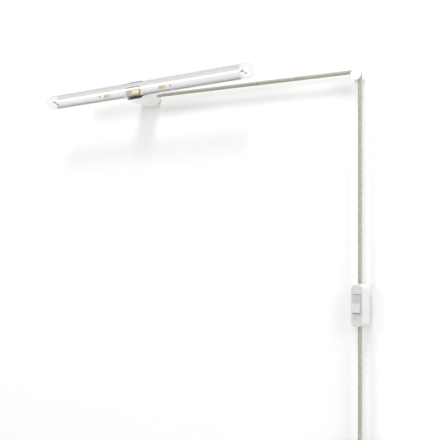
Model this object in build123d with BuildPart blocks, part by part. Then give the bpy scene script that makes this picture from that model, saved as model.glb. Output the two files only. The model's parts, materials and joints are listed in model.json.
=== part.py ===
"""Plug-in wall lamp: a clear linear tube lamp on a short white holder, with a textile cord that
runs along the wall to a peg, hangs down through an in-line rocker switch and ends in a plug.

Frame: origin at the centre of the holder's back, on the wall. +X runs along the wall towards the
peg, -Y points out of the wall, +Z is up. Lengths are millimetres.
"""
import os
from math import cos, pi, radians, sin, sqrt, tan

from build123d import *

os.makedirs("parts", exist_ok=True)

# ---------------------------------------------------------------- driving dimensions
HOLDER_R = 24.0            # outside radius of the holder
HOLDER_LEN = 60.0          # wall to the front of the holder
HOLDER_WALL = 1.8
SPLIT = 22.0               # distance from the wall to the swivel joint
SPLIT_GAP = 0.4            # open line between canopy and head

LAMP_D = 30.0
LAMP_LEN = 500.0
LAMP_LEFT = -230.5         # left end of the glass
LAMP_OUT = 62.0            # distance from the wall to the lamp's axis
GLASS_WALL = 1.0
GLASS_END_R = 9.0          # rounding of the glass ends
BODY_LEFT = -206.0         # the body inside the glass
BODY_RIGHT = 245.0
SADDLE_GAP = 0.4           # air between glass and saddle

CORD_D = 7.0
CORD_OUT = 14.5            # distance from the wall to the cord's axis
CORD_EXIT_Z = -5.5
CORD_DROP = 0.0307         # fall of the taut run, mm per mm
CORD_X = 455.4             # where the cord hangs

PEG_R = 9.5
PEG_CORE_R = 2.55
PEG_GROOVE = 7.4

SWITCH_H = 72.5
SWITCH_W = 27.0
SWITCH_FRONT = 9.0         # from the cord's axis to the front face
SWITCH_BACK = 11.0
SWITCH_TOP_Z = -381.5
SWITCH_TWIST = 16.0        # turned about the cord, front to the left
SWITCH_WALL = 1.8
ROCKER_L = 33.2
ROCKER_W = 16.4
ROCKER_TILT = 7.0          # tilt either side of level

BEND_Z = -652.0            # where the hanging cord starts to bend into the coil
BEND_R = 45.0
COIL_R = 37.5              # mid radius of the coil
COIL_TUBE_R = 8.4          # half thickness of the bundle of turns
RELIEF_TOP_Z = -746.0

# ---------------------------------------------------------------- derived places
CORD_R = CORD_D / 2
LAMP_R = LAMP_D / 2
SADDLE_R = LAMP_R + SADDLE_GAP
HOLDER_IN_R = HOLDER_R - HOLDER_WALL

peg_offset = PEG_CORE_R + CORD_R + 0.05
peg_x = CORD_X - peg_offset
exit_x = HOLDER_R + 0.4
arm_corner_z = CORD_EXIT_Z - CORD_DROP * (CORD_X - HOLDER_R)
peg_z = (CORD_EXIT_Z - CORD_DROP * (peg_x - HOLDER_R)) - peg_offset * sqrt(1 + CORD_DROP**2)

switch_z = SWITCH_TOP_Z - SWITCH_H / 2
twist = radians(SWITCH_TWIST)
switch_plane = Plane(
    origin=(CORD_X, -CORD_OUT, switch_z),
    x_dir=(cos(twist), -sin(twist), 0),
    z_dir=(-sin(twist), -cos(twist), 0),
)

bend_shift = BEND_R * (1 - cos(radians(45)))
bend_drop = BEND_R * sin(radians(45))
coil_x = CORD_X + bend_shift - COIL_R * cos(radians(45))
coil_z = BEND_Z - bend_drop - COIL_R * sin(radians(45))


def wall_plane(distance):
    """Plane parallel to the wall, `distance` out from it, looking away from the wall."""
    return Plane.XZ.offset(distance)


def side_plane(x):
    """Plane square to the lamp at `x`, centred on the lamp's axis."""
    return Plane(origin=(x, -LAMP_OUT, 0), x_dir=(0, 1, 0), z_dir=(1, 0, 0))


# ================================================================ wall side of the holder
BRACKET_T = 2.0
BRACKET_R = 21.6
WALL_HOLE_R = 2.2
WALL_HOLE_SPACING = 28.0
RIM_DEPTH = 7.5
HUB_R = 5.0
HUB_IN_R = 3.6
HUB_END = 31.0
BOSS_R = 7.5
BOSS_END = 8.0
GRUB_R = 1.5
GRUB_OUT = 4.8

with BuildPart() as wall_bracket:
    with BuildSketch(wall_plane(0)):
        Circle(BRACKET_R)
    extrude(amount=RIM_DEPTH)
    with BuildSketch(wall_plane(BRACKET_T)):
        Circle(BRACKET_R - 2.0)
    extrude(amount=RIM_DEPTH, mode=Mode.SUBTRACT)
    with BuildSketch(wall_plane(0)):
        with GridLocations(0, WALL_HOLE_SPACING, 1, 2):
            Circle(WALL_HOLE_R)
    extrude(amount=BRACKET_T, mode=Mode.SUBTRACT)
    with BuildSketch(Plane.XY):
        with Locations((0, -GRUB_OUT)):
            Circle(GRUB_R)
    extrude(amount=HOLDER_R, both=True, mode=Mode.SUBTRACT)
    with BuildSketch(wall_plane(BRACKET_T)):
        Circle(BOSS_R)
        Circle(HUB_R, mode=Mode.SUBTRACT)
    extrude(amount=BOSS_END - BRACKET_T)
wall_bracket.part.label = "wall_bracket"
export_step(wall_bracket.part, "parts/wall_bracket.step")

OUTLET_R = 4.6
with BuildPart() as wall_canopy:
    with BuildSketch(wall_plane(0)):
        Circle(HOLDER_R)
    extrude(amount=SPLIT - SPLIT_GAP / 2)
    with BuildSketch(wall_plane(0)):
        Circle(HOLDER_IN_R)
    extrude(amount=SPLIT - SPLIT_GAP / 2 - HOLDER_WALL, mode=Mode.SUBTRACT)
    with BuildSketch(wall_plane(0)):
        Circle(HUB_R + 0.15)
    extrude(amount=SPLIT, mode=Mode.SUBTRACT)
    with BuildSketch(Plane.YZ):
        with Locations((-CORD_OUT, CORD_EXIT_Z)):
            Circle(OUTLET_R)
    extrude(amount=HOLDER_R + 1, mode=Mode.SUBTRACT)
    with BuildSketch(Plane.XY):
        with Locations((0, -GRUB_OUT)):
            Circle(GRUB_R)
    extrude(amount=HOLDER_R + 1, both=True, mode=Mode.SUBTRACT)
wall_canopy.part.label = "wall_canopy"
export_step(wall_canopy.part, "parts/wall_canopy.step")

with BuildPart() as canopy_screws:
    for side in (1, -1):
        with BuildSketch(Plane.XY.offset(side * (HOLDER_R - 0.4))):
            with Locations((0, -GRUB_OUT)):
                Circle(GRUB_R - 0.05)
        extrude(amount=-side * 4.6)
        with BuildSketch(Plane.XY.offset(side * (HOLDER_R - 0.4))):
            with Locations((0, -GRUB_OUT)):
                RegularPolygon(0.8, 6)
        extrude(amount=-side * 1.4, mode=Mode.SUBTRACT)
canopy_screws.part.label = "canopy_screws"
export_step(canopy_screws.part, "parts/canopy_screws.step")

with BuildPart() as cord_bushing:
    with BuildSketch(Plane.YZ.offset(20.2)):
        with Locations((-CORD_OUT, CORD_EXIT_Z)):
            Circle(OUTLET_R - 0.05)
            Circle(CORD_R + 0.15, mode=Mode.SUBTRACT)
    extrude(amount=exit_x - 20.2)
cord_bushing.part.label = "cord_bushing"
export_step(cord_bushing.part, "parts/cord_bushing.step")

CORD_END_X = 12.5
CLAMP_X = 15.6
CLAMP_SCREW_GAP = 11.4
clamp_z = CORD_EXIT_Z + CORD_DROP * (HOLDER_R - CLAMP_X)
with BuildPart() as cord_clamp:
    with BuildSketch(Plane.YZ.offset(CLAMP_X - 1.5)):
        with Locations((-CORD_OUT, clamp_z)):
            RectangleRounded(10.0, 15.4, 1.0)
            Circle(CORD_R + 0.12, mode=Mode.SUBTRACT)
    extrude(amount=3.0)
cord_clamp.part.label = "cord_clamp"
export_step(cord_clamp.part, "parts/cord_clamp.step")

with BuildPart() as clamp_screws:
    with BuildSketch(Plane.YZ.offset(CLAMP_X - 3.2)):
        with Locations((-CORD_OUT, clamp_z)):
            with GridLocations(0, CLAMP_SCREW_GAP, 1, 2):
                Circle(1.7)
    extrude(amount=1.7)
clamp_screws.part.label = "clamp_screws"
export_step(clamp_screws.part, "parts/clamp_screws.step")

with BuildPart() as swivel_hub:
    with BuildSketch(wall_plane(BRACKET_T + 0.1)):
        Circle(HUB_R)
        Circle(HUB_IN_R, mode=Mode.SUBTRACT)
    extrude(amount=HUB_END - BRACKET_T - 0.1)
    with BuildSketch(Plane.YZ):
        with Locations((-(BOSS_END + 4.5), 0)):
            Rectangle(5.0, 3.4)
    extrude(amount=HUB_R + 1, both=True, mode=Mode.SUBTRACT)
swivel_hub.part.label = "swivel_hub"
export_step(swivel_hub.part, "parts/swivel_hub.step")

SLIP_T = 0.55
with BuildPart() as slip_washer:
    with BuildSketch(wall_plane(SPLIT - SPLIT_GAP / 2)):
        Circle(14.0)
        Circle(HUB_R + 0.1, mode=Mode.SUBTRACT)
    extrude(amount=SLIP_T)
slip_washer.part.label = "slip_washer"
export_step(slip_washer.part, "parts/slip_washer.step")

PLATE_BACK = SPLIT - SPLIT_GAP / 2 + SLIP_T + 0.1
PLATE_T = 2.4
PLATE_R = 22.0
SPRING_WASHER_T = 1.0
with BuildPart() as spring_washer:
    with BuildSketch(wall_plane(PLATE_BACK + PLATE_T + 0.1)):
        Circle(9.5)
        Circle(HUB_R + 0.05, mode=Mode.SUBTRACT)
    extrude(amount=SPRING_WASHER_T)
spring_washer.part.label = "spring_washer"
export_step(spring_washer.part, "parts/spring_washer.step")

with BuildPart() as swivel_nut:
    with BuildSketch(wall_plane(PLATE_BACK + PLATE_T + 0.1 + SPRING_WASHER_T)):
        RegularPolygon(8.1, 6)
        Circle(HUB_R + 0.02, mode=Mode.SUBTRACT)
    extrude(amount=3.6)
swivel_nut.part.label = "swivel_nut"
export_step(swivel_nut.part, "parts/swivel_nut.step")

BLOCK_X = -13.5
with BuildPart() as terminal_block:
    with BuildSketch(wall_plane(9.0)):
        with Locations((BLOCK_X, 0)):
            RectangleRounded(8.5, 18.0, 1.0)
    extrude(amount=9.0)
    with BuildSketch(Plane.YZ.offset(BLOCK_X)):
        with Locations((-13.5, -4.5), (-13.5, 4.5)):
            Circle(2.4)
    extrude(amount=10, both=True, mode=Mode.SUBTRACT)
terminal_block.part.label = "terminal_block"
export_step(terminal_block.part, "parts/terminal_block.step")

with BuildPart() as terminal_tubes:
    with BuildSketch(Plane.YZ.offset(BLOCK_X - 3.6)):
        with Locations((-13.5, -4.5), (-13.5, 4.5)):
            Circle(2.35)
            Circle(1.45, mode=Mode.SUBTRACT)
    extrude(amount=7.2)
terminal_tubes.part.label = "terminal_tubes"
export_step(terminal_tubes.part, "parts/terminal_tubes.step")

LEAD_R = 1.0
with BuildPart() as supply_leads:
    for side in (1, -1):
        with BuildLine() as lead_path:
            FilletPolyline(
                (CORD_END_X - 0.1, -CORD_OUT, CORD_EXIT_Z + 1.4 * side),
                (CORD_END_X - 4.0, -CORD_OUT, CORD_EXIT_Z + 1.4 * side),
                (CORD_END_X - 7.0, -14.0, 9.4 * side),
                (-5.0, -13.5, 9.4 * side),
                (-7.6, -13.5, 4.5 * side),
                (BLOCK_X + 3.6, -13.5, 4.5 * side),
                radius=1.2,
            )
        with BuildSketch(Plane(origin=lead_path.line @ 0, z_dir=lead_path.line % 0)):
            Circle(LEAD_R)
        sweep(path=lead_path.line)
supply_leads.part.label = "supply_leads"
export_step(supply_leads.part, "parts/supply_leads.step")

# ================================================================ swivelling head
SLOT_LOW = 18.6            # how far the dark front plate reaches below the axis
SLOT_TOP = 13.0            # and above it, where the glass tube hides it
SLOT_MID = (SLOT_TOP - SLOT_LOW) / 2
PLATE_FRONT_T = 1.8

with BuildPart() as head_sleeve:
    with BuildSketch(wall_plane(SPLIT + SPLIT_GAP / 2)):
        Circle(HOLDER_R)
    extrude(amount=HOLDER_LEN - SPLIT - SPLIT_GAP / 2)
    with BuildSketch(wall_plane(SPLIT + SPLIT_GAP / 2)):
        Circle(HOLDER_IN_R)
    extrude(amount=HOLDER_LEN - SPLIT - SPLIT_GAP / 2 - PLATE_FRONT_T, mode=Mode.SUBTRACT)
    with BuildSketch(wall_plane(HOLDER_LEN - PLATE_FRONT_T)):
        with Locations((0, SLOT_MID)):
            Rectangle(60, SLOT_TOP + SLOT_LOW)
    extrude(amount=5, mode=Mode.SUBTRACT)
    with BuildSketch(side_plane(0)):
        Circle(SADDLE_R)
    extrude(amount=40, both=True, mode=Mode.SUBTRACT)
    with BuildSketch(Plane.XY):
        with Locations((0, -(PLATE_BACK + PLATE_T / 2))):
            Circle(0.9)
    extrude(amount=30, both=True, mode=Mode.SUBTRACT)
head_sleeve.part.label = "head_sleeve"
export_step(head_sleeve.part, "parts/head_sleeve.step")

PILLAR_X = 14.5
with BuildPart() as swivel_plate:
    with BuildSketch(wall_plane(PLATE_BACK)):
        Circle(PLATE_R)
        Circle(HUB_R + 0.05, mode=Mode.SUBTRACT)
        with GridLocations(2 * PILLAR_X, 0, 2, 1):
            Circle(1.5, mode=Mode.SUBTRACT)
    extrude(amount=PLATE_T)
    with BuildSketch(Plane.XY):
        with Locations((0, -(PLATE_BACK + PLATE_T / 2))):
            Circle(0.9)
    extrude(amount=30, both=True, mode=Mode.SUBTRACT)
swivel_plate.part.label = "swivel_plate"
export_step(swivel_plate.part, "parts/swivel_plate.step")

with BuildPart() as head_screws:
    for side in (1, -1):
        with BuildSketch(Plane.XY.offset(side * (HOLDER_R - 0.3))):
            with Locations((0, -(PLATE_BACK + PLATE_T / 2))):
                Circle(0.85)
        extrude(amount=-side * 6.5)
head_screws.part.label = "head_screws"
export_step(head_screws.part, "parts/head_screws.step")

SOCKET_BACK = 35.0
PILLAR_START = PLATE_BACK + PLATE_T
with BuildPart() as holder_pillars:
    with BuildSketch(wall_plane(PILLAR_START)):
        with GridLocations(2 * PILLAR_X, 0, 2, 1):
            Circle(2.6)
    extrude(amount=SOCKET_BACK - PILLAR_START)
    with BuildSketch(wall_plane(PLATE_BACK + 0.2)):
        with GridLocations(2 * PILLAR_X, 0, 2, 1):
            Circle(1.45)
    extrude(amount=PLATE_T)
holder_pillars.part.label = "holder_pillars"
export_step(holder_pillars.part, "parts/holder_pillars.step")

BASE_HALF_X = 16.5
BASE_HALF_Z = 8.5
BASE_BACK = 41.0
POCKET_GAP = 0.4
PIN_X = 8.0
CUP_OUT_R = 3.6
CUP_IN_R = 2.56
PIN_R = 2.5
with BuildPart() as lampholder:
    with BuildSketch(wall_plane(SOCKET_BACK)):
        Circle(PLATE_R)
    extrude(amount=HOLDER_LEN - PLATE_FRONT_T - 0.05 - SOCKET_BACK)
    with BuildSketch(wall_plane(HOLDER_LEN - PLATE_FRONT_T + 0.05)):
        Circle(HOLDER_R)
        with Locations((0, SLOT_MID)):
            Rectangle(60, SLOT_TOP + SLOT_LOW - 0.2, mode=Mode.INTERSECT)
    extrude(amount=PLATE_FRONT_T - 0.05)
    with BuildSketch(wall_plane(HOLDER_LEN - PLATE_FRONT_T - 0.1)):
        Circle(PLATE_R)
        with Locations((0, SLOT_MID)):
            Rectangle(60, SLOT_TOP + SLOT_LOW - 0.2, mode=Mode.INTERSECT)
    extrude(amount=0.2)
    with BuildSketch(side_plane(0)):
        Circle(SADDLE_R - 0.1)
    extrude(amount=40, both=True, mode=Mode.SUBTRACT)
    with BuildSketch(wall_plane(BASE_BACK - POCKET_GAP)):
        Rectangle(2 * (BASE_HALF_X + POCKET_GAP), 2 * (BASE_HALF_Z + POCKET_GAP))
    extrude(amount=20, mode=Mode.SUBTRACT)
    with BuildSketch(wall_plane(SOCKET_BACK)):
        with GridLocations(2 * PIN_X, 0, 2, 1):
            Circle(CUP_OUT_R + 0.05)
    extrude(amount=10, mode=Mode.SUBTRACT)
lampholder.part.label = "lampholder"
export_step(lampholder.part, "parts/lampholder.step")

with BuildPart() as contact_cups:
    with BuildSketch(wall_plane(SOCKET_BACK)):
        with GridLocations(2 * PIN_X, 0, 2, 1):
            Circle(CUP_OUT_R)
    extrude(amount=BASE_BACK - POCKET_GAP - SOCKET_BACK)
    with BuildSketch(wall_plane(SOCKET_BACK + 1.0)):
        with GridLocations(2 * PIN_X, 0, 2, 1):
            Circle(CUP_IN_R)
    extrude(amount=10, mode=Mode.SUBTRACT)
contact_cups.part.label = "contact_cups"
export_step(contact_cups.part, "parts/contact_cups.step")

with BuildPart() as holder_leads:
    for side in (1, -1):
        with BuildLine() as lead_path:
            FilletPolyline(
                (PIN_X * side, -SOCKET_BACK, 0),
                (PIN_X * side, -(SOCKET_BACK - 2.2), 0),
                (1.6 * side, -(SOCKET_BACK - 2.2), 0),
                (1.6 * side, -(SOCKET_BACK - 6.0), 0),
                radius=1.1,
            )
        with BuildSketch(Plane(origin=lead_path.line @ 0, z_dir=lead_path.line % 0)):
            Circle(0.9)
        sweep(path=lead_path.line)
holder_leads.part.label = "holder_leads"
export_step(holder_leads.part, "parts/holder_leads.step")

# ================================================================ tube lamp
with BuildPart() as glass_core:
    with BuildSketch(side_plane(LAMP_LEFT + GLASS_WALL)):
        Circle(LAMP_R - GLASS_WALL)
    extrude(amount=LAMP_LEN - 2 * GLASS_WALL)
    fillet(glass_core.edges().filter_by(GeomType.CIRCLE), GLASS_END_R - GLASS_WALL)

with BuildPart() as glass_tube:
    with BuildSketch(side_plane(LAMP_LEFT)):
        Circle(LAMP_R)
    extrude(amount=LAMP_LEN)
    fillet(glass_tube.edges().filter_by(GeomType.CIRCLE), GLASS_END_R)
    add(glass_core.part, mode=Mode.SUBTRACT)
glass_tube.part.label = "glass_tube"
export_step(glass_tube.part, "parts/glass_tube.step")

with BuildPart() as lamp_base:
    with BuildSketch(wall_plane(BASE_BACK)):
        RectangleRounded(2 * BASE_HALF_X, 2 * BASE_HALF_Z, 1.5)
    extrude(amount=LAMP_OUT - BASE_BACK - 4)
    with BuildSketch(side_plane(0)):
        Circle(LAMP_R + 0.02)
    extrude(amount=40, both=True, mode=Mode.SUBTRACT)
lamp_base.part.label = "lamp_base"
export_step(lamp_base.part, "parts/lamp_base.step")

with BuildPart() as base_pins:
    with BuildSketch(wall_plane(BASE_BACK - 4.6)):
        with GridLocations(2 * PIN_X, 0, 2, 1):
            Circle(PIN_R)
    extrude(amount=4.6)
base_pins.part.label = "base_pins"
export_step(base_pins.part, "parts/base_pins.step")

TROUGH_R = 13.3
TROUGH_T = 0.9
FACE_BULGE = 2.5           # the front of the body stands this far in front of the lamp's axis
STRIP_Z = -0.2             # underside of the light strip, from the lamp's axis
STRIP_T = 2.4
WINDOW_HALF = 24.4
body_len = BODY_RIGHT - BODY_LEFT
strip_top = STRIP_Z + STRIP_T


def body_outline(inset):
    """Section of the body inside the glass: half round at the back, nearly flat in front."""
    Circle(TROUGH_R - inset)
    with Locations((-LAMP_R, 0)):
        Rectangle(2 * LAMP_R, 2 * LAMP_D, mode=Mode.SUBTRACT)
    Ellipse(FACE_BULGE - inset, TROUGH_R - inset)


def level_band(low, high):
    """Keep the part of a section between two heights."""
    with Locations((0, (low + high) / 2)):
        Rectangle(2 * LAMP_D, high - low, mode=Mode.INTERSECT)


with BuildPart() as reflector_trough:
    with BuildSketch(side_plane(BODY_LEFT)):
        body_outline(0)
        level_band(-LAMP_R, STRIP_Z)
    extrude(amount=body_len)
    with BuildSketch(side_plane(BODY_LEFT)):
        body_outline(TROUGH_T)
    extrude(amount=body_len, mode=Mode.SUBTRACT)
    with BuildSketch(side_plane(-WINDOW_HALF)):
        with Locations((-LAMP_R + 3.0, -LAMP_R)):
            Rectangle(2 * LAMP_R, 2 * LAMP_R)
    extrude(amount=2 * WINDOW_HALF, mode=Mode.SUBTRACT)
reflector_trough.part.label = "reflector_trough"
export_step(reflector_trough.part, "parts/reflector_trough.step")

with BuildPart() as upper_diffuser:
    with BuildSketch(side_plane(BODY_LEFT)):
        body_outline(0)
        level_band(strip_top + 0.05, LAMP_R)
    extrude(amount=body_len)
    with BuildSketch(side_plane(BODY_LEFT)):
        body_outline(TROUGH_T)
    extrude(amount=body_len, mode=Mode.SUBTRACT)
upper_diffuser.part.label = "upper_diffuser"
export_step(upper_diffuser.part, "parts/upper_diffuser.step")

with BuildPart() as light_strip:
    with BuildSketch(side_plane(BODY_LEFT)):
        body_outline(0.02)
        level_band(STRIP_Z + 0.02, strip_top)
    extrude(amount=body_len)
light_strip.part.label = "light_strip"
export_step(light_strip.part, "parts/light_strip.step")

CHIP_COUNT = 40
with BuildPart() as light_chips:
    with BuildSketch(Plane.XY.offset(strip_top + 0.02)):
        with Locations(((BODY_LEFT + BODY_RIGHT) / 2, -LAMP_OUT + 5.0)):
            with GridLocations(body_len / CHIP_COUNT, 0, CHIP_COUNT, 1):
                Rectangle(5.0, 3.0)
    extrude(amount=0.8)
light_chips.part.label = "light_chips"
export_step(light_chips.part, "parts/light_chips.step")

PLATE_GAP = 0.05
END_PLATE_T = 1.2
with BuildPart() as end_plates:
    for plate_x in (BODY_LEFT - PLATE_GAP - END_PLATE_T, BODY_RIGHT + PLATE_GAP):
        with BuildSketch(side_plane(plate_x)):
            body_outline(0)
        extrude(amount=END_PLATE_T)
end_plates.part.label = "end_plates"
export_step(end_plates.part, "parts/end_plates.step")

DRIVER_HALF = 17.8
DRIVER_TOP = -0.3
DRIVER_BOTTOM = -12.4
DRIVER_BACK = 2.8          # how far it reaches behind the lamp's axis
driver_mid = (DRIVER_TOP + DRIVER_BOTTOM) / 2
with BuildPart() as driver_module:
    with BuildSketch(side_plane(-DRIVER_HALF)):
        with Locations(((DRIVER_BACK - FACE_BULGE) / 2, driver_mid)):
            Rectangle(DRIVER_BACK + FACE_BULGE, DRIVER_TOP - DRIVER_BOTTOM)
    extrude(amount=2 * DRIVER_HALF)
driver_module.part.label = "driver_module"
export_step(driver_module.part, "parts/driver_module.step")

CRADLE_W = 6.0
with BuildPart() as driver_cradle:
    for cradle_x in (-DRIVER_HALF - 0.1 - CRADLE_W, DRIVER_HALF + 0.1):
        with BuildSketch(side_plane(cradle_x)):
            body_outline(0.05)
            level_band(-LAMP_R, DRIVER_TOP)
            with Locations((DRIVER_BACK - LAMP_R, 0)):
                Rectangle(2 * LAMP_R, 2 * LAMP_D, mode=Mode.INTERSECT)
        extrude(amount=CRADLE_W)
driver_cradle.part.label = "driver_cradle"
export_step(driver_cradle.part, "parts/driver_cradle.step")

CHOKE_X = 7.5
CHOKE_Z = -6.5
CHOKE_W = 20.4
CHOKE_H = 11.4
CHOKE_RIM = 1.7
choke_back = LAMP_OUT + FACE_BULGE + 0.02
with BuildPart() as choke_frame:
    with BuildSketch(wall_plane(choke_back)):
        with Locations((CHOKE_X, CHOKE_Z)):
            RectangleRounded(CHOKE_W, CHOKE_H, 4.2)
            RectangleRounded(CHOKE_W - 2 * CHOKE_RIM, CHOKE_H - 2 * CHOKE_RIM, 2.6, mode=Mode.SUBTRACT)
    extrude(amount=1.4)
choke_frame.part.label = "choke_frame"
export_step(choke_frame.part, "parts/choke_frame.step")

with BuildPart() as driver_choke:
    with BuildSketch(wall_plane(choke_back)):
        with Locations((CHOKE_X, CHOKE_Z)):
            RectangleRounded(CHOKE_W - 2 * CHOKE_RIM - 0.1, CHOKE_H - 2 * CHOKE_RIM - 0.1, 2.5)
    extrude(amount=1.8)
driver_choke.part.label = "driver_choke"
export_step(driver_choke.part, "parts/driver_choke.step")

FEATURE_SHIFT = 2.4        # the clips and bridges sit this far to the right of the holder's axis
CLIP_X = 69.5
CLIP_LEN = 17.0
CLIP_Z = -4.4
CLIP_H = 5.6
with BuildPart() as strip_clips:
    for clip_x in (FEATURE_SHIFT - CLIP_X, FEATURE_SHIFT + CLIP_X):
        with BuildSketch(side_plane(clip_x - CLIP_LEN / 2)):
            with Locations((-FACE_BULGE, CLIP_Z)):
                Rectangle(2.0, CLIP_H)
        extrude(amount=CLIP_LEN)
    with BuildSketch(side_plane(BODY_LEFT)):
        body_outline(-0.45)
    extrude(amount=body_len, mode=Mode.INTERSECT)
    with BuildSketch(side_plane(BODY_LEFT)):
        body_outline(0)
    extrude(amount=body_len, mode=Mode.SUBTRACT)
strip_clips.part.label = "strip_clips"
export_step(strip_clips.part, "parts/strip_clips.step")


BRIDGE_X = 89.0
BRIDGE_R = 0.55
bridge_y = -(LAMP_OUT + FACE_BULGE + BRIDGE_R)
with BuildPart() as bridge_wires:
    for bridge_x in (FEATURE_SHIFT - BRIDGE_X, FEATURE_SHIFT + BRIDGE_X):
        with BuildLine() as bridge:
            Line((bridge_x - 2.2, bridge_y, -2.6), (bridge_x + 2.2, bridge_y, -6.0))
        with BuildSketch(Plane(origin=bridge.line @ 0, z_dir=bridge.line % 0)):
            Circle(BRIDGE_R)
        sweep(path=bridge.line)
bridge_wires.part.label = "bridge_wires"
export_step(bridge_wires.part, "parts/bridge_wires.step")

END_WIRE_R = 0.5
BEAD_R = 1.3
bead_y = -(LAMP_OUT + FACE_BULGE + BEAD_R + 0.1)
left_beads = [(-216.2, bead_y, 0.5), (-203.8, bead_y, -6.1)]
right_beads = [(252.2, bead_y, 0.0), (260.5, bead_y, -5.8)]
left_root_x = BODY_LEFT - PLATE_GAP - END_PLATE_T
right_root_x = BODY_RIGHT + PLATE_GAP + END_PLATE_T
with BuildPart() as end_wires:
    for root_x, beads in ((left_root_x, left_beads), (right_root_x, right_beads)):
        out_x, _, root_z = beads[0]
        with BuildLine() as wire_path:
            FilletPolyline((root_x, -LAMP_OUT, root_z), (out_x, -LAMP_OUT, root_z), *beads, radius=1.2)
        with BuildSketch(Plane(origin=wire_path.line @ 0, z_dir=wire_path.line % 0)):
            Circle(END_WIRE_R)
        sweep(path=wire_path.wire())
        with Locations(*beads):
            Sphere(BEAD_R, rotation=(90, 0, 0))
end_wires.part.label = "end_wires"
export_step(end_wires.part, "parts/end_wires.step")

# ================================================================ wall peg
groove_back = CORD_OUT - PEG_GROOVE / 2
groove_front = CORD_OUT + PEG_GROOVE / 2
PEG_CAP_T = 2.6
PEG_THREAD_R = 2.0
PEG_THREAD_LEN = 8.0
INSERT_R = 3.2
SPINDLE_IN = 1.6

with BuildPart() as peg_base:
    with BuildSketch(wall_plane(0)):
        with Locations((peg_x, peg_z)):
            Circle(PEG_R)
    extrude(amount=groove_back)
    fillet(peg_base.edges().group_by(Axis.Y)[0], 0.6)
    with BuildSketch(wall_plane(0)):
        with Locations((peg_x, peg_z)):
            Circle(INSERT_R)
    extrude(amount=PEG_THREAD_LEN, mode=Mode.SUBTRACT)
    with BuildSketch(wall_plane(groove_back - SPINDLE_IN)):
        with Locations((peg_x, peg_z)):
            Circle(PEG_CORE_R)
    extrude(amount=5, mode=Mode.SUBTRACT)
peg_base.part.label = "peg_base"
export_step(peg_base.part, "parts/peg_base.step")

with BuildPart() as peg_insert:
    with BuildSketch(wall_plane(0)):
        with Locations((peg_x, peg_z)):
            Circle(INSERT_R)
            Circle(PEG_THREAD_R, mode=Mode.SUBTRACT)
    extrude(amount=PEG_THREAD_LEN)
peg_insert.part.label = "peg_insert"
export_step(peg_insert.part, "parts/peg_insert.step")

with BuildPart() as peg_spindle:
    with BuildSketch(wall_plane(groove_back - SPINDLE_IN)):
        with Locations((peg_x, peg_z)):
            Circle(PEG_CORE_R)
    extrude(amount=SPINDLE_IN + PEG_GROOVE + SPINDLE_IN)
peg_spindle.part.label = "peg_spindle"
export_step(peg_spindle.part, "parts/peg_spindle.step")

with BuildPart() as peg_cap:
    with BuildSketch(wall_plane(groove_front)):
        with Locations((peg_x, peg_z)):
            Circle(PEG_R)
    extrude(amount=PEG_CAP_T)
    fillet(peg_cap.edges().group_by(Axis.Y)[0], 0.5)
    with BuildSketch(wall_plane(groove_front)):
        with Locations((peg_x, peg_z)):
            Circle(PEG_CORE_R)
    extrude(amount=SPINDLE_IN, mode=Mode.SUBTRACT)
peg_cap.part.label = "peg_cap"
export_step(peg_cap.part, "parts/peg_cap.step")

# ================================================================ in-line switch
SWITCH_CORNER = 9.0
SWITCH_EDGE = 2.4
PIVOT_Y = 2.6              # rocker centre above the middle of the switch
PIVOT_Z = 5.5
PIN_LEN = 24.6
ROCKER_PIN_R = 1.0
ROCKER_GAP = 0.35
CORD_HOLE_R = CORD_R + 0.1


# Side view of the switch: local x runs up it and local y points out of its front face.
switch_side = Plane(origin=switch_plane.origin, x_dir=switch_plane.y_dir, z_dir=switch_plane.x_dir)


def switch_level(height):
    """Plane parallel to the switch's front, `height` in front of the cord's axis."""
    return switch_plane.offset(height)


def tilted_frame(centre, angle):
    """The switch's frame moved to `centre` and turned by `angle` degrees about its local x."""
    turn = radians(angle)
    front = switch_plane.z_dir * cos(turn) - switch_plane.y_dir * sin(turn)
    return Plane(origin=centre, x_dir=switch_plane.x_dir, z_dir=front)


def cord_section(height):
    """Level plane at `height`, centred on the hanging cord."""
    return Plane(origin=(CORD_X, -CORD_OUT, height))


with BuildPart() as switch_front:
    with BuildSketch(switch_level(0.05)):
        RectangleRounded(SWITCH_W, SWITCH_H, SWITCH_CORNER)
    extrude(amount=SWITCH_FRONT - 0.05)
    fillet(switch_front.faces().sort_by(Axis(switch_plane.origin, switch_plane.z_dir))[-1].edges(),
           SWITCH_EDGE)
    with BuildSketch(switch_level(0)):
        RectangleRounded(SWITCH_W - 2 * SWITCH_WALL, SWITCH_H - 2 * SWITCH_WALL,
                         SWITCH_CORNER - SWITCH_WALL)
    extrude(amount=SWITCH_FRONT - SWITCH_WALL, mode=Mode.SUBTRACT)
    with BuildSketch(switch_level(0)):
        with Locations((0, PIVOT_Y)):
            RectangleRounded(ROCKER_W + 2 * ROCKER_GAP, ROCKER_L + 2 * ROCKER_GAP, 0.6)
    extrude(amount=20, mode=Mode.SUBTRACT)
    for wall_x in (SWITCH_W / 2 - SWITCH_WALL - 2.2, -(SWITCH_W / 2 - SWITCH_WALL)):
        with BuildSketch(switch_level(PIVOT_Z - 3.0)):
            with Locations((wall_x + 1.1, PIVOT_Y)):
                Rectangle(2.2, 5.0)
        extrude(amount=SWITCH_FRONT - SWITCH_WALL - PIVOT_Z + 3.0)
    with BuildSketch(switch_side):
        with Locations((PIVOT_Y, PIVOT_Z)):
            Circle(ROCKER_PIN_R)
    extrude(amount=PIN_LEN / 2, both=True, mode=Mode.SUBTRACT)
    with BuildSketch(cord_section(SWITCH_TOP_Z - SWITCH_H)):
        Circle(CORD_HOLE_R)
    extrude(amount=SWITCH_H, mode=Mode.SUBTRACT)
switch_front.part.label = "switch_front"
export_step(switch_front.part, "parts/switch_front.step")

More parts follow.
